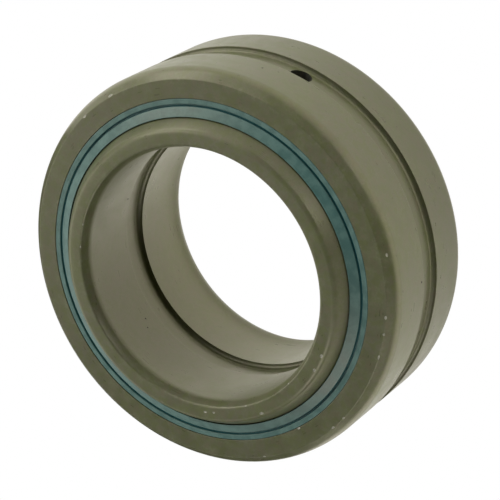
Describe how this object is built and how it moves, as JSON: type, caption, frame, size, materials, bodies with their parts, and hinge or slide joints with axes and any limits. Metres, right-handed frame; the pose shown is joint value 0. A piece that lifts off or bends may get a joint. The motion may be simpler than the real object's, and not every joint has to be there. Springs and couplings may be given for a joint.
{
  "type": "spherical plain bearing",
  "caption": "Spherical plain bearing: an inner ring with a ball-shaped outside turns in a grooved outer ring, with a lip seal at each side.",
  "frame": {"origin": "centre of the ball, midway between the end faces, on the bearing's axis", "axes": "+Z along the bearing's axis; the bearing lies on the inner ring's lower end face"},
  "size_m": [0.047, 0.047, 0.022],
  "materials": {
    "outer_ring_steel": "phosphated, satin, olive grey",
    "inner_ring_steel": "phosphated, satin, olive grey",
    "seal_rubber": "moulded, semi-gloss, grey teal"
  },
  "bodies": {
    "outer": {"outer_ring": "outer_ring_steel", "upper_seal": "seal_rubber", "lower_seal": "seal_rubber"},
    "inner": {"inner_ring": "inner_ring_steel"}
  },
  "joints": [
    {"name": "inner_ring_turn", "type": "hinge", "parent": "outer", "child": "inner", "pos_m": [0, 0, 0], "axis": [0, 0, 1], "continuous": true}
  ]
}
